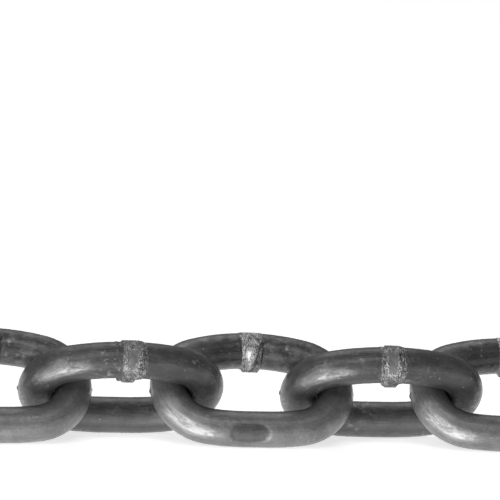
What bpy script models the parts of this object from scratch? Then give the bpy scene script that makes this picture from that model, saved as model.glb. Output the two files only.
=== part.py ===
# One foot of welded steel chain, pulled straight and lying on a level floor.
# Each link is one round bar, bent to a closed oval and butt-welded in its upper side.
# Neighbouring links lean 45 degrees to opposite sides, so each stands square to the next.

import math

import bpy

# Driving dimensions, in metres and degrees
WIRE_DIAMETER = 0.0095
INSIDE_LENGTH = 0.0353
INSIDE_WIDTH = 0.01565
CONTACT_GAP = 0.0004
LINK_COUNT = 9
LEAN = 45.0

# The welded side is bowed more than the plain one, which has a straight run where it lies
WELDED_CROWN_RADIUS = 0.0109
PLAIN_CROWN_RADIUS = 0.0120
PLAIN_STRAIGHT = 0.0060

# The weld's swollen collar, in the middle of the welded side
WELD_LENGTH = 0.0077
WELD_RISE = 0.00045
WELD_SHOULDER = 0.0009

# Facets of the bar's section and rings along the centre line
SECTION_SIDES = 16
CROWN_STEPS = 6
SIDE_STATION = 0.0103

# Sizes that follow from these
WIRE_RADIUS = WIRE_DIAMETER / 2
HALF_LENGTH = (INSIDE_LENGTH + WIRE_DIAMETER) / 2
HALF_WIDTH = (INSIDE_WIDTH + WIRE_DIAMETER) / 2
PITCH = INSIDE_LENGTH - CONTACT_GAP
AXIS_HEIGHT = HALF_WIDTH * math.sin(math.radians(LEAN)) + WIRE_RADIUS
HALF_FACET = math.pi / SECTION_SIDES


def clear_scene():
    for item in list(bpy.data.objects):
        bpy.data.objects.remove(item, do_unlink=True)


def make_steel():
    steel = bpy.data.materials.new("self_coloured_steel")
    steel.use_nodes = True
    shader = steel.node_tree.nodes["Principled BSDF"]
    shader.inputs["Base Color"].default_value = (0.105, 0.103, 0.100, 1.0)
    shader.inputs["Metallic"].default_value = 0.85
    shader.inputs["Roughness"].default_value = 0.45
    return steel


def oval_side(crown_radius, straight, stations):
    """Centre line of one side from tip to tip: crown arc, stations on the side, crown arc."""
    crown_x = HALF_LENGTH - straight / 2 - crown_radius
    width_left = HALF_WIDTH - crown_radius
    side_radius = (crown_x ** 2 + HALF_WIDTH ** 2 - crown_radius ** 2) / (2 * width_left)
    bend = math.atan2(side_radius - HALF_WIDTH, crown_x)

    crown = []
    for step in range(CROWN_STEPS + 1):
        angle = bend * step / CROWN_STEPS
        x = straight / 2 + crown_x + crown_radius * math.cos(angle)
        crown.append((x, crown_radius * math.sin(angle)))

    side = []
    for x in stations:
        along = max(abs(x) - straight / 2, 0.0)
        side.append((x, HALF_WIDTH - side_radius + math.sqrt(side_radius ** 2 - along ** 2)))
    return crown + side + [(-x, y) for x, y in reversed(crown)]


def link_outline():
    """Points (x, y, thickness) once round a link, over the welded side and back under."""
    collar = WELD_LENGTH / 2
    foot = collar + WELD_SHOULDER
    welded_stations = [SIDE_STATION, foot, collar, -collar, -foot, -SIDE_STATION]
    plain_stations = [PLAIN_STRAIGHT / 2, -PLAIN_STRAIGHT / 2]

    welded = oval_side(WELDED_CROWN_RADIUS, 0.0, welded_stations)
    plain = oval_side(PLAIN_CROWN_RADIUS, PLAIN_STRAIGHT, plain_stations)

    swollen = 1 + WELD_RISE / WIRE_RADIUS
    reach = (collar + foot) / 2
    points = [(x, y, swollen if abs(x) < reach else 1.0) for x, y in welded]
    points += [(-x, -y, 1.0) for x, y in plain[1:-1]]
    return points


def make_link_curve(steel):
    """The bar as a closed curve in its own XY plane, with its welded side at +Y."""
    points = link_outline()
    curve = bpy.data.curves.new("welded_link", "CURVE")
    curve.dimensions = "3D"
    curve.twist_mode = "Z_UP"
    curve.bevel_depth = WIRE_RADIUS / math.cos(HALF_FACET)
    curve.bevel_resolution = SECTION_SIDES // 2 - 2
    spline = curve.splines.new("POLY")
    spline.points.add(len(points) - 1)
    spline.use_cyclic_u = True
    for point, (x, y, thickness) in zip(spline.points, points):
        point.co = (x, y, 0.0, 1.0)
        point.radius = thickness
        point.tilt = HALF_FACET
    curve.materials.append(steel)
    return curve


def add_link(number, curve, collection):
    link = bpy.data.objects.new(f"link_{number}", curve)
    collection.objects.link(link)
    return link


def add_hinge(number, parent, side, collection):
    """Empty in the bar of the parent's crown, whose Y axis the next link turns about."""
    hinge = bpy.data.objects.new(f"link_{number}_hinge", None)
    hinge.empty_display_size = WIRE_DIAMETER
    hinge.parent = parent
    hinge.location.x = side * HALF_LENGTH
    collection.objects.link(hinge)
    return hinge


def build_chain():
    collection = bpy.data.collections.new("welded_chain")
    bpy.context.scene.collection.children.link(collection)
    curve = make_link_curve(make_steel())

    middle = LINK_COUNT // 2 + 1
    centre_link = add_link(middle, curve, collection)
    centre_link.location.z = AXIS_HEIGHT
    centre_link.rotation_euler.x = math.radians(LEAN)

    for side in (-1, 1):
        parent = centre_link
        for step in range(1, middle):
            number = middle + side * step
            hinge = add_hinge(number, parent, side, collection)
            link = add_link(number, curve, collection)
            link.parent = hinge
            link.location.x = side * (PITCH - HALF_LENGTH)
            quarter_turn = 2 * LEAN if step % 2 else -2 * LEAN
            link.rotation_euler.x = math.radians(quarter_turn)
            parent = link


clear_scene()
build_chain()
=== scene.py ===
import math
from functools import partial

import bmesh
import bpy
from mathutils import Matrix, Vector


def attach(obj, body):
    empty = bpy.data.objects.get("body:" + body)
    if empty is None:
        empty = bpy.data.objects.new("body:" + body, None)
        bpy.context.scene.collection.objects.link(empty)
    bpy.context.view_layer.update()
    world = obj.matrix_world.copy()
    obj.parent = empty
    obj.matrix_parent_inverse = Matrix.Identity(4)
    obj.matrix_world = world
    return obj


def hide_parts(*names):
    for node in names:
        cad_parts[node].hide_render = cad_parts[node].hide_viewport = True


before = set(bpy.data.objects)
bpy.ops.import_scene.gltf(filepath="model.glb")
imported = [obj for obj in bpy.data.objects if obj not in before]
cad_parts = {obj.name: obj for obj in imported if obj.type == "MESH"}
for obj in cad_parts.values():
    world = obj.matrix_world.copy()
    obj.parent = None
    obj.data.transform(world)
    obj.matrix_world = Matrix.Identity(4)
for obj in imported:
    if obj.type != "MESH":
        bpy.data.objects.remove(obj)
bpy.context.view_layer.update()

print("frame loaded:", ", ".join(sorted(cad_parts)))


# Helpers

mmPerMetre = 1000
smooth = {"interpolation_type": "SMOOTHSTEP"}  # for a Map Range node that eases at both ends
# A Mix node's inputs go by number: 0 is the share, 2 and 3 are its values, 6 and 7 its colours
mixColour = {"data_type": "RGBA", "out": 2}    # for one that blends colours


# A hex colour as it is picked on screen, turned to the linear values that the shaders want
def linearColour(hexColour):
    values = []
    for start in (1, 3, 5):
        part = int(hexColour[start:start + 2], 16) / 255
        values.append(part / 12.92 if part <= 0.04045 else ((part + 0.055) / 1.055) ** 2.4)
    return (*values, 1.0)


# One node: values fill its inputs in order, named fills them by name or number, and the rest
# are settings. A value that is a socket gets linked. Gives back the output asked for
def addNode(tree, kind, *values, named=None, out=0, **settings):
    node = tree.nodes.new(kind)
    for name, value in settings.items():
        setattr(node, name, value)
    filled = [(i, value) for i, value in enumerate(values) if value is not None]
    for key, value in filled + list((named or {}).items()):
        if isinstance(value, bpy.types.NodeSocket):
            tree.links.new(value, node.inputs[key])
        else:
            node.inputs[key].default_value = value
    return node.outputs[out] if node.outputs else node


# The link's centre line

# Metres. The same oval as the solid: a bowed welded side at +Y and a plain side at -Y
linkOval = {
    "wireDiameter": 0.0095,
    "halfLength": 0.0224,
    "halfWidth": 0.012575,
    "weldedCrownRadius": 0.0109,
    "plainCrownRadius": 0.0120,
    "plainStraight": 0.0060,
    "curveResolution": 48,
    "samePoint": 1e-6,
}


# Of the long arc between two crowns: how far along their centres are, its radius, how far its
# own centre is past the link's long axis, and the angle at which it meets them
def longSide(crownRadius, straight):
    crownX = linkOval["halfLength"] - straight / 2 - crownRadius
    widthLeft = linkOval["halfWidth"] - crownRadius
    radius = (crownX ** 2 + linkOval["halfWidth"] ** 2 - crownRadius ** 2) / (2 * widthLeft)
    bend = math.atan2(radius - linkOval["halfWidth"], crownX)
    return crownX, radius, radius - linkOval["halfWidth"], bend


# Arcs (centre x, centre y, radius, first angle, last angle) once round, from the weld and back
def linkArcs(weldX):
    crownW, sideW, dropW, bendW = longSide(linkOval["weldedCrownRadius"], 0.0)
    crownP, sideP, dropP, bendP = longSide(linkOval["plainCrownRadius"], linkOval["plainStraight"])
    radiusW, radiusP = linkOval["weldedCrownRadius"], linkOval["plainCrownRadius"]
    half = linkOval["plainStraight"] / 2
    weldAngle = math.pi / 2 - math.asin(weldX / sideW)
    left, lowest, right = math.pi, 1.5 * math.pi, 2 * math.pi
    return [
        (0.0, -dropW, sideW, weldAngle, left - bendW),
        (-crownW, 0.0, radiusW, left - bendW, left),
        (-crownP - half, 0.0, radiusP, left, left + bendP),
        (-half, dropP, sideP, left + bendP, lowest),
        (half, dropP, sideP, lowest, right - bendP),
        (crownP + half, 0.0, radiusP, right - bendP, right),
        (crownW, 0.0, radiusW, right, right + bendW),
        (0.0, -dropW, sideW, right + bendW, right + weldAngle),
    ]


# The arcs as one closed Bezier spline. A straight run joins the plain side's two long arcs
def makeCentreLine(name, weldX):
    curve = bpy.data.curves.new(name, "CURVE")
    curve.dimensions = "3D"
    curve.resolution_u = linkOval["curveResolution"]
    knots = []
    for centreX, centreY, radius, first, last in linkArcs(weldX):
        reach = 4 / 3 * math.tan((last - first) / 4) * radius  # a handle's length on an arc
        ends = []
        for angle, side in ((first, 1), (last, -1)):
            point = Vector((centreX + radius * math.cos(angle), centreY + radius * math.sin(angle), 0))
            along = Vector((-math.sin(angle), math.cos(angle), 0)) * reach * side
            ends.append((point, point + along))
        (start, startHandle), (end, endHandle) = ends
        if knots and (knots[-1]["point"] - start).length < linkOval["samePoint"]:
            knots[-1]["after"] = startHandle
        else:
            third = (start - knots[-1]["point"]) / 3 if knots else Vector()
            if knots:
                knots[-1]["after"] = knots[-1]["point"] + third
            knots.append({"point": start, "before": start - third, "after": startHandle})
        knots.append({"point": end, "before": endHandle})
    knots[0]["before"] = knots.pop()["before"]  # the last knot is the first one again

    spline = curve.splines.new("BEZIER")
    spline.bezier_points.add(len(knots) - 1)
    spline.use_cyclic_u = True
    for target, knot in zip(spline.bezier_points, knots):
        target.handle_left_type = target.handle_right_type = "FREE"
        target.co = knot["point"]
        target.handle_left = knot["before"]
        target.handle_right = knot["after"]
    return bpy.data.objects.new(name, curve)


# The bar with its weld, as Geometry Nodes

# Inputs of the tree. Metres, and turns round the bar in radians, where 0 is the outside of the
# oval, 1.57 the link's +Z face and 3.14 its inside
linkInputs = {
    "Wire Radius": linkOval["wireDiameter"] / 2,
    "Ring Spacing": 0.00013,
    "Rings Skipped": 3,         # away from the weld, one ring in so many is kept
    "Ring Sides": 120,
    "Weld Length": 0.0070,
    "Left Inset": 0.0002,       # from the weld's left edge to where it swells
    "Left Shoulder": 0.0004,
    "Right Shoulder": 0.0018,
    "Weld Rise": 0.00036,
    "Flake Height": 0.00022,
    "Left Ridge": 0.00014,
    "Ridge Gap": -0.0004,       # from the weld's edge to the ridge
    "Ridge Turn": -0.4,
    "Right Ridge": 0.0,
    "Trim Along": -0.0006,
    "Trim Width": 0.0030,
    "Trim Turn": 0.48,
    "Trim Spread": 0.66,
    "Trim Slope": 0.0,
    "Trim Flatness": 0.2,
    "Trim Shine": 0.0,
    "Lip From": -0.0043,
    "Lip To": 0.0003,
    "Lip Height": 0.00080,
    "Notch Along": 0.0019,
    "Notch Turn": 0.1,
    "Notch Spread": 0.32,
    "Notch Slant": 0.0,
    "Notch Depth": 0.0004,
    "Notch Ends Weld": 0.0,     # 1 where the weld's skin stops at the notch
    "Left Nub": 0.00036,
    "Right Nub": 0.0,
    "Press Depth": 0.0,
    "Saddle Rise": 0.00017,
    # Rub inputs: drag wear on a left bend that is also a painted highlight, placed round the band where
    # the lamps' highlight falls
    "Rubbed Side": 1.0,         # 1 for the welded side, -1 for the plain one
    "Rub Turn": 0.92,
    "Rub From": -0.0200,
    "Rub Strength": 0.55,
    # The plain side's wear is partly painted shade: it is lower on even links, whose plain side lies at
    # the back, under the upper bar
    "Plain Side Wear": 0.3,
    # Painted light and shade, with some heat tint: the left and right tones darken or lighten the skin on
    # each side of the weld on the faces round the shade turn, and the outer tone paints the faces away
    # from them paler, chiefly the tops, as if lit from above
    "Left Tone": 0.70,
    "Right Tone": 0.64,
    "Outer Tone": 1.15,
    "Shade Turn": 1.45,
    "Weld Tone": 1.2,
    "Seed": 0,
    "Bar Material": None,
}
socketKinds = {float: "NodeSocketFloat", int: "NodeSocketInt", type(None): "NodeSocketMaterial"}

# Forms that all links share, in the same units. A pair is where a form has faded out and where
# it is full, and four numbers are a pair and the values there. Noise scales are per millimetre
linkForms = {
    "closeRings": 0.0014,                  # they reach this far past the weld
    "noiseShift": (90, 90, 90),            # the most that a seed moves the noise
    "acrossWeld": (-0.001, 0.001),         # from the left side's value to the right side's
    "notchSkin": (0.0001, 0.0003),
    "notchWidth": (0.00055, 0.00015),
    "notchEnd": 0.12,
    "ragged": {"Scale": 0.5, "Detail": 3},
    "raggedGain": 2.5,                     # brings the noise to about -1 to 1
    "raggedEdge": (0.00025, 0.0010),       # crisp at the left, ragged at the right
    "collarEdge": 0.00035,
    "ridgeRound": (0.75, 0.40),            # from its middle, as all that is called round
    "ridgeWidth": (0.00035, 0.00005),
    "ridgeSkin": (0.00003, 0.00010, 0, 0.5),  # how far a ridge looks like the weld
    "wander": {"Scale": 0.6, "Detail": 3},
    "wanderReach": (0.3, 0.7, -0.0006, 0.0006),
    "trimSlant": 0.0005,                   # along for each radian round
    "trimEdge": 0.0003,
    "trimEnd": 0.16,
    "litWeldTop": (-0.5, -1.2),             # painted light: the upper stretch of weld between the face and the inside of the link, painted paler as if lit from above
    "litWeldTopFade": (-3.1, -2.4),          # the inside of the link
    "litWeldTopGain": 1.5,
    "burrWidth": 0.0009,
    "burrRound": 0.34,
    "burrGain": 0.07,                      # added to the noise of the flakes
    "flakeStretch": (1.8, 0.6, 0.6),
    "plates": {"Scale": 0.34, "Detail": 1, "Roughness": 0.4, "Distortion": 0.5},
    "platesEdge": (0.46, 0.57),
    "chips": {"Scale": 0.55, "Detail": 1, "Roughness": 0.5, "Distortion": 0.5},
    "chipsEdge": (0.47, 0.57),
    "chipShare": 0.25,                     # the rest are plates
    "flakeLevel": 0.45,                    # a flake this full neither rises nor sinks
    "lipWander": 0.3,                      # share of the wander of the trimmed face
    "lipEnds": (0.0004, 0.0006),           # lengths of its two slopes
    "lipRound": (-0.2, -0.58),
    "flakesOnLip": 0.35,                   # share of their height that they keep there
    "nubAcross": -0.0010,
    "nubSize": (0.00090, 0.00025),
    "nubLeast": 0.0001,                    # a lower one leaves no scar
    "scarPlace": (0.0003, 0.0018),         # back from the nub, and above it
    "scarSize": (0.0030, 0.0014),
    "saddleAlong": (0.0185, 0.0215),
    "saddleRound": (-0.45, -0.85),
    "rubHighlightStart": 0.0045,                    # it grows to its full strength over this
    "rubEnd": (-0.0085, -0.0125),
    "rubAcross": (0.0005, 0.0050),
    "rubRound": (0.42, 0.05),
    "pressAlong": (-0.0023, 0.0054),       # middle and half length, and the same round the bar
    "pressRound": (0.72, 0.60),
    "pressCorners": 2.8,                   # 2 would be an ellipse
    "pressEdge": (1.15, 0.70),
    "swells": {"Scale": 0.16, "Detail": 1},
    "swellReach": (0.25, 0.75, -0.00005, 0.00005),
    "dentStretch": (0.35, 1.0, 1.0),
    "dents": {"Scale": 0.8, "Detail": 2},
    "dentReach": (0.54, 0.72, 0.0, -0.00005),
    "heatAndShadeAcross": (-0.002, 0.002),
    "shadeEdge": (0.45, 0.75),             # the painted outer light holds beyond it
    "rightBendShade": (0.026, 0.040, 0.3, 1),   # painted shade: from the weld, and the share of the wear there, so the right bend keeps its dark skin
}


def makeLinkTree():
    tree = bpy.data.node_groups.new("weldedLink", "GeometryNodeTree")
    for way in ("INPUT", "OUTPUT"):
        tree.interface.new_socket("Geometry", in_out=way, socket_type="NodeSocketGeometry")
    for name, value in linkInputs.items():
        socket = tree.interface.new_socket(name, in_out="INPUT", socket_type=socketKinds[type(value)])
        if value is not None:
            socket.default_value = value
    given = tree.nodes.new("NodeGroupInput").outputs
    form = linkForms
    add = partial(addNode, tree)

    # Rings along the centre line. Away from the weld only every few are kept
    rings = add("GeometryNodeResampleCurve", given["Geometry"], mode="LENGTH",
                named={"Length": given["Ring Spacing"]})
    whole = add("GeometryNodeCurveLength", rings)
    travelled = add("GeometryNodeSplineParameter", out="Length")
    toGo = add("ShaderNodeMath", whole, travelled, operation="SUBTRACT")
    fromWeld = add("ShaderNodeMath", travelled, toGo, operation="MINIMUM")
    closeRings = add("ShaderNodeMath", given["Weld Length"], 0.5, form["closeRings"],
                     operation="MULTIPLY_ADD")
    outside = add("ShaderNodeMath", fromWeld, closeRings, operation="GREATER_THAN")
    beat = add("GeometryNodeInputIndex")
    beat = add("ShaderNodeMath", beat, given["Rings Skipped"], operation="MODULO")
    beat = add("ShaderNodeMath", beat, 0.5, operation="GREATER_THAN")
    spare = add("ShaderNodeMath", outside, beat, operation="MULTIPLY")
    rings = add("GeometryNodeDeleteGeometry", rings, domain="POINT", named={"Selection": spare})
    rings = add("GeometryNodeSetCurveNormal", rings, mode="Z_UP")
    lap = add("GeometryNodeCurveLength", rings)

    # The rings carry where they are and which way they look
    position = add("GeometryNodeInputPosition")
    carried = tree.nodes.new("GeometryNodeCaptureAttribute")
    tree.links.new(rings, carried.inputs["Geometry"])
    for kind, name, value in (("FLOAT", "Travel", travelled), ("VECTOR", "Centre", position),
                              ("VECTOR", "Heading", add("GeometryNodeInputTangent"))):
        carried.capture_items.new(kind, name)
        tree.links.new(value, carried.inputs[name])
    rings, travel, centre, heading = (carried.outputs[name]
                                      for name in ("Geometry", "Travel", "Centre", "Heading"))
    section = add("GeometryNodeCurvePrimitiveCircle", mode="RADIUS",
                  named={"Resolution": given["Ring Sides"], "Radius": given["Wire Radius"]})
    bar = add("GeometryNodeCurveToMesh", rings, section)

    # Place of a point on the bar: along it from the weld, and round it from the oval's outside
    radial = add("ShaderNodeVectorMath", position, centre, operation="SUBTRACT")
    radial = add("ShaderNodeVectorMath", radial, operation="NORMALIZE")
    outward = add("ShaderNodeVectorMath", heading, (0, 0, 1), operation="CROSS_PRODUCT")
    outward = add("ShaderNodeVectorMath", outward, operation="NORMALIZE")
    outPart = add("ShaderNodeVectorMath", radial, outward, operation="DOT_PRODUCT", out="Value")
    upPart = add("ShaderNodeSeparateXYZ", radial, out="Z")
    turn = add("ShaderNodeMath", upPart, outPart, operation="ARCTAN2")
    halfLap = add("ShaderNodeMath", lap, 0.5, operation="MULTIPLY")
    pastHalf = add("ShaderNodeMath", travel, halfLap, operation="GREATER_THAN")
    along = add("ShaderNodeMath", pastHalf, lap, operation="MULTIPLY")
    along = add("ShaderNodeMath", along, travel, operation="SUBTRACT")
    besideWeld = add("ShaderNodeMath", along, operation="ABSOLUTE")
    centreX, centreY = add("ShaderNodeSeparateXYZ", centre).node.outputs[:2]

    # Turn from the one that an input gives, the short way round
    def turnFrom(name):
        away = add("ShaderNodeMath", turn, given[name], operation="SUBTRACT")
        return add("ShaderNodeMath", away, math.pi, -math.pi, operation="WRAP")

    # Noise is read in millimetres, shifted by the seed so that no two links match
    shift = add("FunctionNodeRandomValue", data_type="FLOAT_VECTOR",
                named={"Min": (0, 0, 0), "Max": form["noiseShift"], "Seed": given["Seed"]})
    millimetres = add("ShaderNodeVectorMath", position, operation="SCALE", named={"Scale": mmPerMetre})
    millimetres = add("ShaderNodeVectorMath", millimetres, shift, operation="ADD")
    radiusMm = add("ShaderNodeMath", given["Wire Radius"], mmPerMetre, operation="MULTIPLY")
    alongMm, outMm, upMm = (
        add("ShaderNodeMath", part, scale, operation="MULTIPLY")
        for part, scale in ((along, mmPerMetre), (outPart, radiusMm), (upPart, radiusMm)))
    farMm = add("ShaderNodeMath", alongMm, operation="ABSOLUTE")
    sideOfWeld = add("ShaderNodeMath", along, operation="SIGN")
    aroundOnly = add("ShaderNodeCombineXYZ", outMm, upMm, sideOfWeld)
    aroundOnly = add("ShaderNodeVectorMath", aroundOnly, shift, operation="ADD")

    # Notch: a cold lap beside the joint, where the weld's skin can end
    notchTurn = turnFrom("Notch Turn")
    notchPlace = add("ShaderNodeMath", notchTurn, given["Notch Slant"], given["Notch Along"],
                     operation="MULTIPLY_ADD")
    fromNotch = add("ShaderNodeMath", along, notchPlace, operation="SUBTRACT")
    beyondNotch = add("ShaderNodeMapRange", fromNotch, *form["notchSkin"], 0, 1)
    fromNotch = add("ShaderNodeMath", fromNotch, operation="ABSOLUTE")
    notch = add("ShaderNodeMapRange", fromNotch, *form["notchWidth"], 0, 1, **smooth)
    notchTurn = add("ShaderNodeMath", notchTurn, operation="ABSOLUTE")
    notchInner = add("ShaderNodeMath", given["Notch Spread"], form["notchEnd"], operation="SUBTRACT")
    notchRound = add("ShaderNodeMapRange", notchTurn, given["Notch Spread"], notchInner, 0, 1, **smooth)
    notchDrop, cutOff = notch, beyondNotch
    for part in (notchRound, given["Notch Depth"]):
        notchDrop = add("ShaderNodeMath", notchDrop, part, operation="MULTIPLY")
    for part in (notchRound, given["Notch Ends Weld"]):
        cutOff = add("ShaderNodeMath", cutOff, part, operation="MULTIPLY")
    kept = add("ShaderNodeMath", 1.0, cutOff, operation="SUBTRACT")

    # Collar: the swollen band that the butt weld leaves. Its left edge is a crisp step, and its
    # right edge is ragged and runs out slowly
    raggedEdge, shoulder, inset, rightSide = (
        add("ShaderNodeMapRange", along, *form["acrossWeld"], left, right)
        for left, right in (form["raggedEdge"], (given["Left Shoulder"], given["Right Shoulder"]),
                            (given["Left Inset"], 0), (0, 1)))
    ragged = add("ShaderNodeTexNoise", aroundOnly, named=form["ragged"])
    ragged = add("ShaderNodeMath", ragged, 0.5, operation="SUBTRACT")
    for part in (form["raggedGain"], raggedEdge):
        ragged = add("ShaderNodeMath", ragged, part, operation="MULTIPLY")
    edge = add("ShaderNodeMath", given["Weld Length"], 0.5, ragged, operation="MULTIPLY_ADD")
    riseFoot = add("ShaderNodeMath", edge, inset, operation="SUBTRACT")
    riseEdge = add("ShaderNodeMath", riseFoot, shoulder, operation="SUBTRACT")
    innerEdge = add("ShaderNodeMath", edge, form["collarEdge"], operation="SUBTRACT")
    collar = add("ShaderNodeMapRange", besideWeld, edge, innerEdge, 0, 1, **smooth)
    collar = add("ShaderNodeMath", collar, kept, operation="MULTIPLY")
    swell = add("ShaderNodeMapRange", besideWeld, riseFoot, riseEdge, 0, 1, **smooth)

    # Ridges: a thin burr along the edge of the collar, on either side, part of the way round
    ridgeTurn = add("ShaderNodeMath", turnFrom("Ridge Turn"), operation="ABSOLUTE")
    ridgeRound = add("ShaderNodeMapRange", ridgeTurn, *form["ridgeRound"], 0, 1, **smooth)
    ridgePlace = add("ShaderNodeMath", edge, given["Ridge Gap"], operation="ADD")
    ridge = 0.0
    for name, side in (("Left Ridge", -1), ("Right Ridge", 1)):
        crest = add("ShaderNodeMath", ridgePlace, side, operation="MULTIPLY")
        crest = add("ShaderNodeMath", along, crest, operation="SUBTRACT")
        crest = add("ShaderNodeMath", crest, operation="ABSOLUTE")
        crest = add("ShaderNodeMapRange", crest, *form["ridgeWidth"], 0, 1, **smooth)
        crest = add("ShaderNodeMath", crest, ridgeRound, operation="MULTIPLY")
        ridge = add("ShaderNodeMath", crest, given[name], ridge, operation="MULTIPLY_ADD")
    ridgeSkin = add("ShaderNodeMapRange", ridge, *form["ridgeSkin"])

    # Trimmed stripe, where the flash has been sheared off flat, and the burr that frames it
    alongTrim = add("ShaderNodeMath", along, given["Trim Along"], operation="SUBTRACT")
    fromTrim = add("ShaderNodeMath", alongTrim, operation="ABSOLUTE")
    wander = add("ShaderNodeTexNoise", millimetres, named=form["wander"])
    wander = add("ShaderNodeMapRange", wander, *form["wanderReach"])
    fromTrim = add("ShaderNodeMath", fromTrim, wander, operation="ADD")
    trimTurn = turnFrom("Trim Turn")
    fromTrim = add("ShaderNodeMath", trimTurn, form["trimSlant"], fromTrim, operation="MULTIPLY_ADD")
    halfTrim = add("ShaderNodeMath", given["Trim Width"], 0.5, operation="MULTIPLY")
    trimCore = add("ShaderNodeMath", halfTrim, form["trimEdge"], operation="SUBTRACT")
    trim = add("ShaderNodeMapRange", fromTrim, halfTrim, trimCore, 0, 1, **smooth)
    burrReach = add("ShaderNodeMath", halfTrim, form["burrWidth"], operation="ADD")
    burr = add("ShaderNodeMapRange", fromTrim, burrReach, halfTrim, 0, 1)
    # Painted light: the upper face of the weld, to be painted paler as if lit from above
    litWeldTop, litWeldTopFadeShare = (add("ShaderNodeMapRange", trimTurn, *form[name], 0, 1)
                           for name in ("litWeldTop", "litWeldTopFade"))
    litWeldTop = add("ShaderNodeMath", litWeldTop, litWeldTopFadeShare, operation="MULTIPLY")
    trimTurn = add("ShaderNodeMath", trimTurn, operation="ABSOLUTE")
    spread = given["Trim Spread"]
    trimInner = add("ShaderNodeMath", spread, form["trimEnd"], operation="SUBTRACT")
    trimRound = add("ShaderNodeMapRange", trimTurn, spread, trimInner, 0, 1, **smooth)
    burrOuter = add("ShaderNodeMath", spread, form["burrRound"], operation="ADD")
    burrRound = add("ShaderNodeMapRange", trimTurn, burrOuter, spread, 0, 1)
    for part in (trimRound, collar):
        trim = add("ShaderNodeMath", trim, part, operation="MULTIPLY")
    for part in (burrRound, form["burrGain"]):
        burr = add("ShaderNodeMath", burr, part, operation="MULTIPLY")

    # The sheared face is flatter than the bar, and leans where the shear digs in on one side
    flatDepth, fromMiddle = (add("ShaderNodeMath", part, 2, operation="POWER")
                             for part in (spread, trimTurn))
    flatDepth = add("ShaderNodeMath", flatDepth, fromMiddle, operation="SUBTRACT")

    # Flakes: torn, folded steel round the joint, drawn out around the bar by the upset
    flakePlace = add("ShaderNodeCombineXYZ", alongMm, outMm, upMm)
    flakePlace = add("ShaderNodeVectorMath", flakePlace, form["flakeStretch"], operation="MULTIPLY")
    flakePlace = add("ShaderNodeVectorMath", flakePlace, shift, operation="ADD")
    torn = {}
    for name in ("plates", "chips"):
        scrap = add("ShaderNodeTexNoise", flakePlace, named=form[name])
        scrap = add("ShaderNodeMath", scrap, burr, operation="ADD")
        torn[name] = add("ShaderNodeMapRange", scrap, *form[name + "Edge"], 0, 1, **smooth)
    flake = add("ShaderNodeMix", named={0: form["chipShare"], 2: torn["plates"], 3: torn["chips"]})
    flakeRise = add("ShaderNodeMath", flake, form["flakeLevel"], operation="SUBTRACT")
    untrimmed = add("ShaderNodeMath", 1.0, trim, operation="SUBTRACT")

    # Lip: flash left standing inside the link, where no trimming tool reaches
    lipPlace = add("ShaderNodeMath", wander, form["lipWander"], along, operation="MULTIPLY_ADD")
    lip = add("ShaderNodeMapRange", outPart, *form["lipRound"], 0, 1, **smooth)
    for name, operation, soft in zip(("Lip From", "Lip To"), ("ADD", "SUBTRACT"), form["lipEnds"]):
        full = add("ShaderNodeMath", given[name], soft, operation=operation)
        end = add("ShaderNodeMapRange", lipPlace, given[name], full, 0, 1, **smooth)
        lip = add("ShaderNodeMath", lip, end, operation="MULTIPLY")
    calm = add("ShaderNodeMapRange", lip, 0, 1, 1, form["flakesOnLip"])

    # Nubs: a burr that the bending dies leave on the nose of a crown, in a torn patch
    nubs = scar = 0.0
    for side, name in ((-1, "Left Nub"), (1, "Right Nub")):
        noseX = side * (linkOval["halfLength"] + linkOval["wireDiameter"] / 2)
        back, above = form["scarPlace"]
        nub, patch = (add("ShaderNodeVectorMath", position, (x, form["nubAcross"], z),
                          operation="DISTANCE", out="Value")
                      for x, z in ((noseX, 0), (noseX - side * back, above)))
        nub = add("ShaderNodeMapRange", nub, *form["nubSize"], 0, 1, **smooth)
        nubs = add("ShaderNodeMath", nub, given[name], nubs, operation="MULTIPLY_ADD")
        patch = add("ShaderNodeMapRange", patch, *form["scarSize"], 0, 1)
        patch = add("ShaderNodeMath", patch, torn["plates"], operation="MULTIPLY")
        present = add("ShaderNodeMath", given[name], form["nubLeast"], operation="GREATER_THAN")
        scar = add("ShaderNodeMath", patch, present, scar, operation="MULTIPLY_ADD")

    # Saddles: the crowns seat on each other, so their inner faces are a touch full
    endward = add("ShaderNodeMath", centreX, operation="ABSOLUTE")
    saddle, seated = (add("ShaderNodeMapRange", part, *form[name], 0, 1, **smooth)
                      for part, name in ((endward, "saddleAlong"), (outPart, "saddleRound")))

    # Rubbed bend, drag wear that is also a painted highlight: the left bend of whichever side faces the
    # front, where links have dragged, marked just round the band where the lamps' highlight falls, to be
    # painted paler
    rubHighlightFull = add("ShaderNodeMath", given["Rub From"], form["rubHighlightStart"], operation="ADD")
    rubAndHighlight = add("ShaderNodeMapRange", centreX, given["Rub From"], rubHighlightFull, 0, 1)
    rubHighlightSide = add("ShaderNodeMath", centreY, given["Rubbed Side"], operation="MULTIPLY")
    rubHighlightTurn = add("ShaderNodeMath", turnFrom("Rub Turn"), operation="ABSOLUTE")
    for part, name in ((centreX, "rubEnd"), (rubHighlightSide, "rubAcross"), (rubHighlightTurn, "rubRound")):
        share = add("ShaderNodeMapRange", part, *form[name], 0, 1)
        rubAndHighlight = add("ShaderNodeMath", rubAndHighlight, share, operation="MULTIPLY")
    rubAndHighlight = add("ShaderNodeMath", rubAndHighlight, given["Rub Strength"], operation="MULTIPLY")

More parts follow.
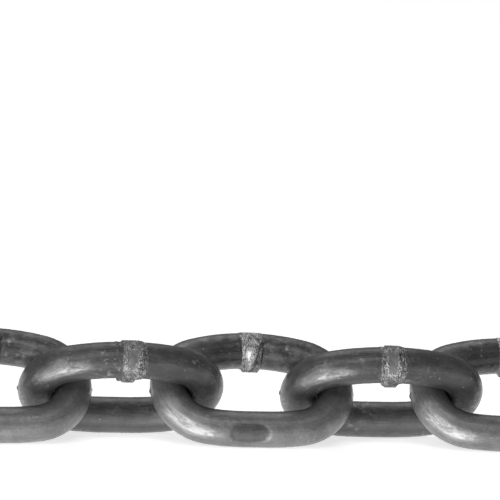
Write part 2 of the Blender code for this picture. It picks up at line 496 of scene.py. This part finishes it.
    # Pressed field on the plain side, a shallow rounded oblong
    spot = add("ShaderNodeSeparateXYZ", position)
    field = 0.0
    for part, (middle, reach) in ((spot, form["pressAlong"]), (turn, form["pressRound"])):
        away = add("ShaderNodeMath", part, middle, operation="SUBTRACT")
        away = add("ShaderNodeMath", away, reach, operation="DIVIDE")
        away = add("ShaderNodeMath", away, operation="ABSOLUTE")
        away = add("ShaderNodeMath", away, form["pressCorners"], operation="POWER")
        field = add("ShaderNodeMath", field, away, operation="ADD")
    plainSide = add("ShaderNodeMath", centreY, 0.0, operation="LESS_THAN")
    pressDrop = add("ShaderNodeMapRange", field, *form["pressEdge"], 0, 1, **smooth)
    for part in (plainSide, given["Press Depth"]):
        pressDrop = add("ShaderNodeMath", pressDrop, part, operation="MULTIPLY")

    # Unevenness of hot bar stock: slow swells, and small dents drawn out along the bar
    swells = add("ShaderNodeTexNoise", millimetres, named=form["swells"])
    swells = add("ShaderNodeMapRange", swells, *form["swellReach"])
    dentPlace = add("ShaderNodeCombineXYZ", farMm, outMm, upMm)
    dentPlace = add("ShaderNodeVectorMath", dentPlace, form["dentStretch"], operation="MULTIPLY")
    dentPlace = add("ShaderNodeVectorMath", dentPlace, shift, operation="ADD")
    dents = add("ShaderNodeTexNoise", dentPlace, named=form["dents"])
    dents = add("ShaderNodeMapRange", dents, *form["dentReach"])

    # All heights above the round bar, and depths below it, each the product of its parts
    lift = 0.0
    for operation, height, *parts in (
            ("ADD", swell, given["Weld Rise"], kept),
            ("ADD", flakeRise, given["Flake Height"], untrimmed, collar, calm),
            ("ADD", ridge),
            ("ADD", alongTrim, given["Trim Slope"], trim),
            ("ADD", lip, given["Lip Height"]),
            ("SUBTRACT", flatDepth, given["Wire Radius"], given["Trim Flatness"], trim, 0.5),
            ("ADD", saddle, seated, given["Saddle Rise"]),
            ("SUBTRACT", notchDrop), ("ADD", nubs), ("SUBTRACT", pressDrop),
            ("ADD", swells), ("ADD", dents)):
        for part in parts:
            height = add("ShaderNodeMath", height, part, operation="MULTIPLY")
        lift = add("ShaderNodeMath", lift, height, operation=operation)
    offset = add("ShaderNodeVectorMath", radial, operation="SCALE", named={"Scale": lift})

    # Tones, painted light and shade with some heat tint: each side of the weld is darkened or lightened on
    # the faces round the shade turn, the faces away from them are painted paler as if lit from above, and
    # the weld has its own tone, painted paler on its upper face. The right bend keeps its dark skin
    # further round, painted shade on a bend that faces away from the light
    heatAndLightTone = add("ShaderNodeMapRange", along, *form["heatAndShadeAcross"], given["Left Tone"], given["Right Tone"])
    fromShade = add("ShaderNodeMath", turnFrom("Shade Turn"), operation="ABSOLUTE")
    paintedLitShare = add("ShaderNodeMapRange", fromShade, *form["shadeEdge"], 0, 1)
    # The weld's own tone, painted paler on its upper face
    weldToneAndTopLight = add("ShaderNodeMapRange", litWeldTop, 0, 1, 1, form["litWeldTopGain"])
    weldToneAndTopLight = add("ShaderNodeMath", weldToneAndTopLight, given["Weld Tone"], operation="MULTIPLY")
    for share, over in ((paintedLitShare, given["Outer Tone"]), (collar, weldToneAndTopLight)):
        heatAndLightTone = add("ShaderNodeMix", named={0: share, 2: heatAndLightTone, 3: over})
    # Painted shade: less of the pale plain skin on the right bend, which faces away from the light
    rightBendShade = add("ShaderNodeMapRange", besideWeld, *form["rightBendShade"])
    wearAndShade = add("ShaderNodeMix", named={0: rightSide, 2: 1.0, 3: rightBendShade})
    wearAndShade = add("ShaderNodeMath", wearAndShade, given["Plain Side Wear"], operation="MULTIPLY")
    shine = add("ShaderNodeMath", trim, given["Trim Shine"], operation="MULTIPLY")

    # What the shader needs: the place in the straightened bar, where the weld's parts are, and
    # the depth of the hollows in millimetres
    weldSkin = collar
    for part in (lip, ridgeSkin):
        weldSkin = add("ShaderNodeMath", weldSkin, part, operation="MAXIMUM")
    hollows = [add("ShaderNodeMath", drop, mmPerMetre, operation="MULTIPLY")
               for drop in (notchDrop, pressDrop)]
    for name, parts in (("barSpace", (farMm, outMm, upMm)), ("weldMarks", (weldSkin, trim, flake)),
                        ("hollows", hollows), ("handling", (scar, rubAndHighlight)), ("tones", (heatAndLightTone, wearAndShade, shine))):
        value = add("ShaderNodeCombineXYZ", *parts)
        bar = add("GeometryNodeStoreNamedAttribute", bar, data_type="FLOAT_VECTOR", domain="POINT",
                  named={"Name": name, "Value": value})
    bar = add("GeometryNodeSetPosition", bar, named={"Offset": offset})
    bar = add("GeometryNodeSetShadeSmooth", bar)
    bar = add("GeometryNodeRealizeInstances", bar)
    bar = add("GeometryNodeSetMaterial", bar, named={"Material": given["Bar Material"]})
    tree.links.new(bar, tree.nodes.new("NodeGroupOutput").inputs["Geometry"])
    return tree


# Self-coloured steel

# Low-carbon steel bar, hot rolled, bent and welded, sold without any coating. The eye gets a dark satin
# grey skin of thin scale, darker on the side that the weld's heat reached, rubbed lighter in spots, with
# faint lines along the bar, and a paler, torn, unscaled skin round the weld. Light and shade are painted
# onto it as well: tops paler, faces in shade darker, hollows darker, and a paler patch where the highlight
# falls on a left bend. Colours are sRGB. A pair is where something starts and where it is full, or the
# least and the most that a noise does
steelLook = {
    "heatedDark": "#363636",
    "heatedPale": "#464646",
    "plainDark": "#5E5E5E",
    "plainPale": "#767676",
    "plainAlong": (8.0, 24.0),        # mm along the bar from the weld
    "rubbedSpot": "#868686",
    # paler steel of a dragged bend, partly a painted highlight
    "dragWearAndHighlight": "#B0B0B0",
    "weldGap": "#363636",
    "weldBody": "#5E5E5E",
    "weldFlake": "#949494",
    "trimmedFace": "#686868",
    "shearedBright": "#A8A8A8",
    "metallic": 0.6,
    "weldRoughness": 0.52,
    "scaleRoughness": (0.46, 0.38),   # dark scale, pale scale
    "rubbedRoughness": 0.28,
    "shearedRoughness": 0.25,
    "oilRoughness": 0.17,
    "dashRoughness": 0.12,
    "oilFilm": (0.35, 0.65, 0.52, 0.78),  # of the lines' noise, and the film there
    "oilOnDashes": 0.35,
    "speckSpacing": 2.4,              # mm
    "speckSize": (0.13, 0.05),        # of the spacing
    "speckRare": 0.55,                # share of the cells that have none
    "rubbedShare": 0.75,              # how far a rubbed spot goes to its colour
    "patchyFrom": (1.05, 1.30),       # tones at which the scale is patchy
    "gapEdge": (0.10, 0.30),
    "flakeEdge": (0.58, 0.80),
    "weldEdge": (0.15, 0.6),
    "notchPaintedShade": (0, 0.4, 1, 0.45),  # mm of depth, and the painted shade there
    "pressPaintedShade": (0.02, 0.22, 1, 0.50),
    "levelled": 0.4,                  # relief left on a dragged bend
    "bumpDepth": 0.00010,
    "barBump": 0.35,
    "filmBump": 0.8,
    "dashRelief": 0.5,                # height of the dashes beside the grain, in the oil
    "noiseSpan": (0.3, 0.7),          # most of a noise lies between these
    "lineShade": (0.91, 1.09),
    "grainShade": (0.86, 1.14),
    "gritShade": (0.80, 1.20),
    "gritTear": (-0.22, 0.22),
    "lineRoughness": (-0.03, 0.03),
    "grainRoughness": (-0.06, 0.06),
}

# Noises on the steel: size in mm, detail, roughness, and what the noise is mapped from and to
steelPatterns = {
    "cloud": (5.0, 5, 0.72, 0.35, 0.65, 0, 1),
    "patch": (2.6, 4, 0.6, 0.42, 0.58, 0.60, 1.40),  # pale scale, where some has come off
    "fleck": (1.1, 5, 0.65, 0.56, 0.72, 0, 1),
    "fleckCluster": (7.143, 1, 0.5, 0.50, 0.66, 0.05, 1),
    "scuff": (2.2, 5, 0.7, 0.55, 0.60, 0, 1),
    "scuffCluster": (9.091, 1, 0.5, 0.58, 0.66, 0, 0.8),
    "grain": (0.35, 3, 0.6),   # real grain is near 0.05 mm, drawn coarser so that it shows
    "grit": (1.4286, 2, 0.5),  # of the torn weld
}

# The same along the straightened bar, with a length and a width in mm
barPatterns = {
    "lines": (16.0, 0.45, 3, 0.5),  # real lines are under 0.1 mm, drawn coarser so that they show
    "dashes": (1.8, 0.35, 2, 0.5, 0.54, 0.66, 0, 1),   # polished by handling
    "drags": (2.0, 0.7, 2, 0.6, 0.40, 0.60, 0.25, 1),  # where links have dragged over a bend
}


def makeSteel():
    steel = bpy.data.materials.new("selfColouredSteelBar")
    steel.use_nodes = True
    tree = steel.node_tree
    tree.nodes.clear()
    look = steelLook
    colour = {name: linearColour(value) for name, value in look.items() if isinstance(value, str)}
    add = partial(addNode, tree)

    place = add("ShaderNodeTexCoord", out="Object")
    place = add("ShaderNodeMapping", place, named={"Scale": (mmPerMetre, mmPerMetre, mmPerMetre)})
    marks = {name: add("ShaderNodeAttribute", attribute_name=name, out="Vector")
             for name in ("barSpace", "weldMarks", "hollows", "handling", "tones")}
    parts = {name: add("ShaderNodeSeparateXYZ", mark).node.outputs for name, mark in marks.items()}
    weldSkin, trim, flake = parts["weldMarks"]
    notch, press = parts["hollows"][:2]
    scar, rubAndHighlight = parts["handling"][:2]
    heatAndLightTone, wearAndShade, shine = parts["tones"]

    pattern = {}
    for name, (size, detail, roughness, *ramp) in steelPatterns.items():
        noise = add("ShaderNodeTexNoise", place,
                    named={"Scale": 1 / size, "Detail": detail, "Roughness": roughness})
        pattern[name] = add("ShaderNodeMapRange", noise, *ramp) if ramp else noise
    for name, (length, width, detail, roughness, *ramp) in barPatterns.items():
        marked = add("ShaderNodeMapping", marks["barSpace"],
                     named={"Scale": (1 / length, 1 / width, 1 / width)})
        noise = add("ShaderNodeTexNoise", marked,
                    named={"Scale": 1.0, "Detail": detail, "Roughness": roughness})
        pattern[name] = add("ShaderNodeMapRange", noise, *ramp) if ramp else noise
    lines, grain, grit, dashes = (pattern[name] for name in ("lines", "grain", "grit", "dashes"))

    # Shades, tears and roughness that follow a noise
    varied = {name: add("ShaderNodeMapRange", noise, *look["noiseSpan"], *look[name])
              for name, noise in (("lineShade", lines), ("grainShade", grain), ("gritShade", grit),
                                  ("gritTear", grit), ("lineRoughness", lines), ("grainRoughness", grain))}

    # Scale: cloudy, and on the heated side scaled by the tones of heat tint and painted light and shade,
    # and patchy where they are pale
    heatedSkin, plainSkin = (
        add("ShaderNodeMix", **mixColour,
            named={0: pattern["cloud"], 6: colour[name + "Dark"], 7: colour[name + "Pale"]})
        for name in ("heated", "plain"))
    patchy = add("ShaderNodeMapRange", heatAndLightTone, *look["patchyFrom"], 0, 1)
    patch = add("ShaderNodeMix", named={0: patchy, 2: 1.0, 3: pattern["patch"]})
    for shade in (heatAndLightTone, patch):
        heatedSkin = add("ShaderNodeVectorMath", heatedSkin, operation="SCALE", named={"Scale": shade})
    # Plain skin away from the weld, by the wear, which is partly painted shade
    plain = add("ShaderNodeMapRange", parts["barSpace"][0], *look["plainAlong"], 0, 1, **smooth)
    plain = add("ShaderNodeMath", plain, wearAndShade, operation="MULTIPLY")
    skin = add("ShaderNodeMix", **mixColour, named={0: plain, 6: heatedSkin, 7: plainSkin})

    # Rubbed flecks and scuffs in clusters, a few bright specks, and drag marks on a bend, which are also a
    # painted highlight
    fleck, scuff = (add("ShaderNodeMath", pattern[name], pattern[name + "Cluster"], operation="MULTIPLY")
                    for name in ("fleck", "scuff"))
    cell = add("ShaderNodeTexVoronoi", place, named={"Scale": 1 / look["speckSpacing"]})
    speck = add("ShaderNodeMapRange", cell, *look["speckSize"], 0, 1)
    rare = add("ShaderNodeSeparateXYZ", cell.node.outputs["Color"])
    rare = add("ShaderNodeMath", rare, look["speckRare"], operation="GREATER_THAN")
    speck = add("ShaderNodeMath", speck, rare, operation="MULTIPLY")
    rubbed = fleck
    for part in (speck, scuff, scar):
        rubbed = add("ShaderNodeMath", rubbed, part, operation="MAXIMUM")
    rubbed = add("ShaderNodeMath", rubbed, look["rubbedShare"], operation="MULTIPLY")
    # Painted highlight, partly drag wear: pale streaks on the left bend where its highlight falls
    wornAndHighlit = add("ShaderNodeMath", pattern["drags"], rubAndHighlight, operation="MULTIPLY")
    for share, layer in ((rubbed, "rubbedSpot"), (wornAndHighlit, "dragWearAndHighlight")):
        skin = add("ShaderNodeMix", **mixColour, named={0: share, 6: skin, 7: colour[layer]})
    for name in ("lineShade", "grainShade"):
        skin = add("ShaderNodeVectorMath", skin, operation="SCALE", named={"Scale": varied[name]})

    # Weld: pale flakes over dark gaps, and the smoother face where it was trimmed
    torn = add("ShaderNodeMath", varied["gritTear"], flake, operation="ADD")
    gap, pale = (add("ShaderNodeMapRange", torn, *look[name], 0, 1) for name in ("gapEdge", "flakeEdge"))
    trimmed = add("ShaderNodeVectorMath", colour["trimmedFace"][:3], operation="SCALE",
                  named={"Scale": varied["gritShade"]})
    weld = colour["weldGap"]
    for share, layer in ((gap, colour["weldBody"]), (pale, colour["weldFlake"]), (trim, trimmed),
                         (shine, colour["shearedBright"])):
        weld = add("ShaderNodeMix", **mixColour, named={0: share, 6: weld, 7: layer})
    # The weld takes its tone, painted paler on its upper face
    weld = add("ShaderNodeVectorMath", weld, operation="SCALE", named={"Scale": heatAndLightTone})
    inWeld = add("ShaderNodeMapRange", weldSkin, *look["weldEdge"], 0, 1)
    skin = add("ShaderNodeMix", **mixColour, named={0: inWeld, 6: skin, 7: weld})
    # Painted shade: the notch and the pressed field are darker the deeper they are
    for depth, name in ((notch, "notchPaintedShade"), (press, "pressPaintedShade")):
        paintedHollowShade = add("ShaderNodeMapRange", depth, *look[name])
        skin = add("ShaderNodeVectorMath", skin, operation="SCALE", named={"Scale": paintedHollowShade})

    rough = add("ShaderNodeMapRange", pattern["cloud"], 0, 1, *look["scaleRoughness"])
    for name in ("lineRoughness", "grainRoughness"):
        rough = add("ShaderNodeMath", rough, varied[name], operation="ADD")
    bare = add("ShaderNodeMath", rubbed, wornAndHighlit, operation="MAXIMUM")
    for share, name in ((bare, "rubbedRoughness"), (inWeld, "weldRoughness"), (shine, "shearedRoughness")):
        rough = add("ShaderNodeMix", named={0: share, 2: rough, 3: look[name]})

    # Relief of grain and lines on the bar, and of grit on the weld
    barOnly = add("ShaderNodeMath", 1.0, inWeld, operation="SUBTRACT")
    levelled = add("ShaderNodeMapRange", wornAndHighlit, 0, 1, 1, look["levelled"])
    height = add("ShaderNodeMath", grain, levelled, lines, operation="MULTIPLY_ADD")
    height = add("ShaderNodeMath", height, barOnly, operation="MULTIPLY")
    height = add("ShaderNodeMath", grit, inWeld, height, operation="MULTIPLY_ADD")
    filmHeight = add("ShaderNodeMath", dashes, look["dashRelief"], grain, operation="MULTIPLY_ADD")
    filmHeight = add("ShaderNodeMath", filmHeight, levelled, operation="MULTIPLY")
    normal, filmNormal = (add("ShaderNodeBump", named={"Strength": look[name], "Height": relief,
                                                       "Distance": look["bumpDepth"]})
                          for name, relief in (("barBump", height), ("filmBump", filmHeight)))

    # A thin film of oil lies on the bar, most of it on the dashes, and none on the weld
    film = add("ShaderNodeMapRange", lines, *look["oilFilm"])
    film = add("ShaderNodeMath", dashes, look["oilOnDashes"], film, operation="MULTIPLY_ADD")
    film = add("ShaderNodeMath", film, barOnly, operation="MULTIPLY")
    filmRough = add("ShaderNodeMix", named={0: dashes, 2: look["oilRoughness"], 3: look["dashRoughness"]})
    shader = add("ShaderNodeBsdfPrincipled", named={
        "Base Color": skin, "Metallic": look["metallic"], "Roughness": rough, "Normal": normal,
        "Coat Weight": film, "Coat Roughness": filmRough, "Coat Normal": filmNormal})
    # Stands in wherever the link to it is dropped
    shader.node.inputs["Coat Roughness"].default_value = look["oilRoughness"]
    add("ShaderNodeOutputMaterial", shader)
    return steel


# The chain

# Metres, and radians for the lean: odd links lean back, even links lean forward
chainLayout = {
    "count": 9,
    "lean": math.radians(45),
    "contactGap": 0.0004,
    "weldX": {"usual": 0.0004, 4: 0.0013, 6: 0.0002},  # the weld's middle, in its own link
    "seedBefore": 20,  # a link's seed is this and its number
}
pitch = 2 * linkOval["halfLength"] - linkOval["wireDiameter"] - chainLayout["contactGap"]
middleLink = (chainLayout["count"] + 1) // 2
axisHeight = linkOval["halfWidth"] * math.sin(chainLayout["lean"]) + linkOval["wireDiameter"] / 2

# What differs from the tree's own values, for odd links and for single ones
oddLink = {
    "Weld Length": 0.0059,
    "Right Shoulder": 0.0005,
    "Weld Rise": 0.00012,
    "Left Ridge": 0.0,
    "Right Ridge": 0.00006,
    "Ridge Turn": 2.8,
    "Trim Along": -0.0010,
    "Trim Width": 0.0016,
    "Trim Turn": 2.62,
    "Trim Spread": 0.50,
    "Trim Slope": 0.10,
    "Trim Flatness": 0.85,
    "Trim Shine": 1.0,
    "Lip From": -0.0021,
    "Lip To": 0.0031,
    "Notch Along": 0.0017,
    "Notch Turn": 2.5,
    "Notch Spread": 1.05,
    "Notch Slant": -0.0014,
    "Notch Ends Weld": 1.0,
    "Notch Depth": 0.0005,
    "Right Nub": 0.0002,
    "Plain Side Wear": 1.0,
    "Left Tone": 0.55,
    "Right Tone": 1.35,
    "Outer Tone": 1.6,
    "Shade Turn": 2.2,
    "Rubbed Side": -1.0,
    "Rub Turn": 0.66,
    "Rub From": -0.0228,
    "Rub Strength": 1.0,
    "Weld Tone": 1.8,
}
singleLink = {
    4: {"Weld Length": 0.0061, "Left Inset": 0.0, "Ridge Gap": 0.0012, "Lip From": -0.0044,
        "Lip To": 0.0009, "Notch Depth": 0.0, "Trim Turn": 0.55, "Trim Spread": 0.56},
    5: {"Press Depth": 0.00022},
    6: {"Weld Length": 0.0066, "Left Inset": 0.0014, "Left Ridge": 0.00005, "Trim Along": -0.0002,
        "Trim Width": 0.0029, "Lip From": -0.0026, "Lip To": 0.0020, "Notch Along": 0.0017},
}


def buildLink(number, tree, steel):
    layout = chainLayout
    odd = number % 2 == 1
    carrier = makeCentreLine(f"centreLine{number}", layout["weldX"].get(number, layout["weldX"]["usual"]))
    bpy.context.scene.collection.objects.link(carrier)
    modifier = carrier.modifiers.new("weldedLink", "NODES")
    modifier.node_group = tree
    wanted = {**(oddLink if odd else {}), **singleLink.get(number, {})}
    wanted.update({"Seed": layout["seedBefore"] + number, "Bar Material": steel})
    for item in tree.interface.items_tree:
        if item.in_out == "INPUT" and item.name in wanted:
            modifier[item.identifier] = wanted[item.name]

    ready = carrier.evaluated_get(bpy.context.evaluated_depsgraph_get())
    mesh = bpy.data.meshes.new_from_object(ready)
    carrier.modifiers.clear()
    bpy.data.objects.remove(carrier, do_unlink=True)

    lean = layout["lean"] if odd else math.pi - layout["lean"]
    place = Matrix.Translation(((number - middleLink) * pitch, 0, axisHeight))
    mesh.transform(place @ Matrix.Rotation(lean, 4, "X"))
    work = bmesh.new()
    work.from_mesh(mesh)
    bmesh.ops.recalc_face_normals(work, faces=work.faces)
    work.to_mesh(mesh)
    work.free()
    mesh.name = f"weldedLink{number}"
    link = bpy.data.objects.new(mesh.name, mesh)
    bpy.context.scene.collection.objects.link(link)
    return link


steel = makeSteel()
linkTree = makeLinkTree()
links = {}
for number in range(1, chainLayout["count"] + 1):
    links[number] = buildLink(number, linkTree, steel)
    print("link", number, "has", len(links[number].data.polygons), "faces")

for number, link in links.items():
    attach(link, f"link_{number}")
    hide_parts(f"link_{number}")
print("chain of", len(links), "links built")


# Floor, light and camera

# A light table: a pale translucent sheet that glows evenly, with lamps shining up through it
stageLook = {
    "floorColour": "#F4F4F4",
    "floorRoughness": 0.9,
    "glowColour": "#FFFFFF",
    "floorGlow": 0.64,
    "floorSize": 12.0,
    "worldColour": "#848484",
    "worldStrength": 1.0,
}


def makeFloor():
    mesh = bpy.data.meshes.new("studioFloor")
    work = bmesh.new()
    bmesh.ops.create_grid(work, x_segments=1, y_segments=1, size=stageLook["floorSize"] / 2)
    work.to_mesh(mesh)
    work.free()
    floor = bpy.data.objects.new("studioFloor", mesh)
    bpy.context.scene.collection.objects.link(floor)
    sheet = bpy.data.materials.new("opalAcrylicSheet")
    sheet.use_nodes = True
    shader = sheet.node_tree.nodes["Principled BSDF"]
    shader.inputs["Base Color"].default_value = linearColour(stageLook["floorColour"])
    shader.inputs["Roughness"].default_value = stageLook["floorRoughness"]
    shader.inputs["Emission Color"].default_value = linearColour(stageLook["glowColour"])
    shader.inputs["Emission Strength"].default_value = stageLook["floorGlow"]
    mesh.materials.append(sheet)
    floor.visible_shadow = False  # the lamps under the sheet shine through it


chainMiddle = Vector((0, 0, axisHeight))


# Direction in degrees to the right of the front and above the floor
def directionTo(azimuth, height):
    azimuth, height = math.radians(azimuth), math.radians(height)
    return Vector((math.sin(azimuth) * math.cos(height), -math.cos(azimuth) * math.cos(height),
                   math.sin(height)))


# Each softbox: azimuth and height of its direction, distance in metres, size, watts
softboxes = {
    "keyTop": (0, 48, 1.3, 0.40, 1.7),
    "keyHigh": (-30, 48, 1.3, 0.40, 1.0),
    "keySide": (-45, 25, 1.3, 0.40, 2.4),
    "keyLower": (-34, 3, 1.3, 0.40, 4.0),
    "tableKey": (-22, -40, 1.0, 0.35, 3.0),
    "tableSide": (-60, -40, 1.0, 0.35, 2.0),
    "tableEdge": (-75, -20, 1.0, 0.35, 1.4),
    "tableDeep": (-60, -60, 1.0, 0.35, 1.2),
    "overhead": (180, 60, 1.8, 1.2, 5.2),
}


def makeLights():
    for name, (azimuth, height, distance, size, power) in softboxes.items():
        light = bpy.data.lights.new(name, "AREA")
        light.shape = "SQUARE"
        light.size = size
        light.energy = power
        # No bounced ray passes the sheet, so a lamp below it counts by the rays aimed at it alone
        light.cycles.use_multiple_importance_sampling = height > 0
        lamp = bpy.data.objects.new(name, light)
        direction = directionTo(azimuth, height)
        lamp.location = chainMiddle + direction * distance
        lamp.rotation_euler = direction.to_track_quat("Z", "Y").to_euler()
        lamp.visible_camera = False
        bpy.context.scene.collection.objects.link(lamp)
    world = bpy.data.worlds.new("paleStudio")
    bpy.context.scene.world = world
    world.use_nodes = True
    background = world.node_tree.nodes["Background"]
    background.inputs["Color"].default_value = linearColour(stageLook["worldColour"])
    background.inputs["Strength"].default_value = stageLook["worldStrength"]


# Degrees and metres. The picture is 500 pixels square, and the middle of the chain sits at aim
viewpoint = {
    "yaw": -10.66,
    "elevation": 9.785,
    "roll": 2.913,
    "distance": 1.3774,
    "pixelsPerMetre": 3796.0,
    "aim": (251.7, 390.0),
    "pictureSide": 500,
    "sensor": 36.0,
    "clip": (0.05, 50),
}


def makeCamera():
    view = viewpoint
    back = directionTo(view["yaw"], view["elevation"])
    yaw, roll = math.radians(view["yaw"]), math.radians(view["roll"])
    level = Vector((math.cos(yaw), math.sin(yaw), 0))
    upright = back.cross(level)
    right = level * math.cos(roll) + upright * math.sin(roll)
    up = upright * math.cos(roll) - level * math.sin(roll)
    focal = view["pixelsPerMetre"] * view["distance"]

    data = bpy.data.cameras.new("photoCamera")
    data.sensor_width = view["sensor"]
    data.lens = view["sensor"] * focal / view["pictureSide"]
    data.clip_start, data.clip_end = view["clip"]
    camera = bpy.data.objects.new("photoCamera", data)
    # The chain lies below the middle of the picture, so the camera is tipped up from it
    half = view["pictureSide"] / 2
    tip = math.atan((view["aim"][1] - half) / focal)
    swing = math.atan((view["aim"][0] - half) / focal)
    turned = Matrix.Rotation(tip, 3, right) @ Matrix.Rotation(swing, 3, up)
    axes = Matrix((turned @ right, turned @ up, turned @ back)).transposed()
    camera.matrix_world = Matrix.Translation(chainMiddle + back * view["distance"]) @ axes.to_4x4()
    bpy.context.scene.collection.objects.link(camera)
    bpy.context.scene.camera = camera


makeFloor()
makeLights()
makeCamera()
bpy.context.scene.view_settings.view_transform = "Standard"
print("floor, light and camera set")
